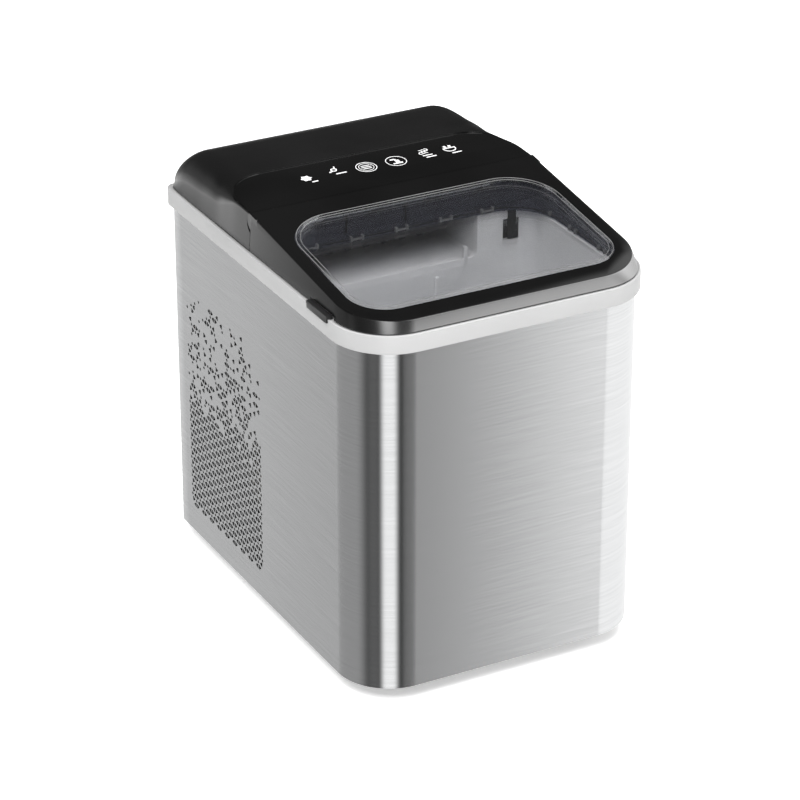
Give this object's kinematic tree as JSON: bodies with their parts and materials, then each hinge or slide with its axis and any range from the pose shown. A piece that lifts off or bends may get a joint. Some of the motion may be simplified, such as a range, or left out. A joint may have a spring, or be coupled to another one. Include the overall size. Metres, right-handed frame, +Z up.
{
  "type": "ice maker",
  "caption": "Countertop ice maker with brushed steel body, black hood with touch panel and a hinged window lid over the ice basket.",
  "frame": {"origin": "on the ground under the middle of the footprint", "axes": "+X to the right of a user facing the front, +Y to the back, +Z up; the window lid is at the front"},
  "size_m": [0.2276, 0.305, 0.307],
  "materials": {
    "brushed_steel": "horizontal brushed",
    "black_plastic": "fine moulded texture",
    "rubber": "matte",
    "bare_metal": "plain",
    "white_frame": "satin white",
    "hood_black": "satin black",
    "panel_gloss": "high gloss black",
    "lid_gloss": "gloss black",
    "window_clear": "clear, lightly smoked",
    "window_smoke": "smoked clear",
    "tank_grey": "satin light grey",
    "foam": "expanded foam",
    "basket_grey": "satin",
    "copper": "drawn copper",
    "valve_brass": "machined",
    "dark_grey_plastic": "moulded",
    "white_plastic": "moulded",
    "clear_hose": "silicone",
    "compressor_paint": "satin black paint",
    "fin_aluminium": "bare fins",
    "circuit_board": "solder mask"
  },
  "bodies": {
    "cabinet": {"outer_wrap": "brushed_steel", "base_pan": "black_plastic", "rear_panel": "black_plastic", "rear_grille": "black_plastic", "power_inlet": "black_plastic", "drain_spout": "black_plastic", "terminal_cover": "black_plastic", "fan_shroud": "black_plastic", "lid_hinge_bracket_left": "black_plastic", "lid_hinge_bracket_right": "black_plastic", "lid_switch": "black_plastic", "ice_sensor_emitter": "black_plastic", "water_pump": "black_plastic", "foot_front_left": "rubber", "foot_front_right": "rubber", "foot_rear_left": "rubber", "foot_rear_right": "rubber", "compressor_grommet_1": "rubber", "compressor_grommet_2": "rubber", "compressor_grommet_3": "rubber", "rear_screw_1": "bare_metal", "rear_screw_2": "bare_metal", "rear_screw_3": "bare_metal", "rear_screw_4": "bare_metal", "fan_motor": "bare_metal", "tray_gear_motor": "bare_metal", "upper_frame": "white_frame", "rear_hood": "hood_black", "control_panel": "panel_gloss", "water_tank": "tank_grey", "ice_chamber": "tank_grey", "tank_insulation": "foam", "evaporator": "copper", "discharge_line": "copper", "suction_line": "copper", "liquid_line": "copper", "capillary_tube": "copper", "filter_drier": "copper", "hot_gas_valve": "valve_brass", "chamber_cover": "dark_grey_plastic", "float_stem": "white_plastic", "pump_inlet_hose": "clear_hose", "pump_outlet_hose": "clear_hose", "drain_hose": "clear_hose", "compressor": "compressor_paint", "condenser": "fin_aluminium", "control_board": "circuit_board", "power_board": "circuit_board"},
    "lid": {"lid_frame": "lid_gloss", "lid_window": "window_clear", "window_retainer": "window_smoke", "lid_tab_left": "lid_gloss", "lid_tab_right": "lid_gloss"},
    "basket": {"ice_basket": "basket_grey"},
    "tray": {"water_tray": "dark_grey_plastic"},
    "rake": {"ice_rake": "dark_grey_plastic"},
    "float": {"level_float": "white_plastic"},
    "fan": {"fan_blades": "dark_grey_plastic"},
    "plug": {"drain_plug": "rubber"}
  },
  "joints": [
    {"name": "lid_hinge", "type": "hinge", "parent": "cabinet", "child": "lid", "pos_m": [0, 0.011, 0.296], "axis": [-1, 0, 0], "range_deg": [0, 95]},
    {"name": "basket_lift", "type": "slide", "parent": "cabinet", "child": "basket", "axis": [0, 0, 1], "range_m": [0, 0.07]},
    {"name": "tray_tilt", "type": "hinge", "parent": "cabinet", "child": "tray", "pos_m": [0, 0.034, 0.266], "axis": [1, 0, 0], "range_deg": [0, 55]},
    {"name": "rake_slide", "type": "slide", "parent": "cabinet", "child": "rake", "axis": [0, -1, 0], "range_m": [0, 0.0405]},
    {"name": "float_rise", "type": "slide", "parent": "cabinet", "child": "float", "axis": [0, 0, 1], "range_m": [0, 0.032]},
    {"name": "fan_spin", "type": "hinge", "parent": "cabinet", "child": "fan", "pos_m": [-0.065, 0.07, 0.102], "axis": [1, 0, 0], "continuous": true},
    {"name": "plug_pull", "type": "slide", "parent": "cabinet", "child": "plug", "axis": [0, 1, 0], "range_m": [0, 0.014]}
  ],
  "couplings": [
    {"joint": "rake_slide", "follows": "tray_tilt", "m_per_rad": 0.04167}
  ]
}
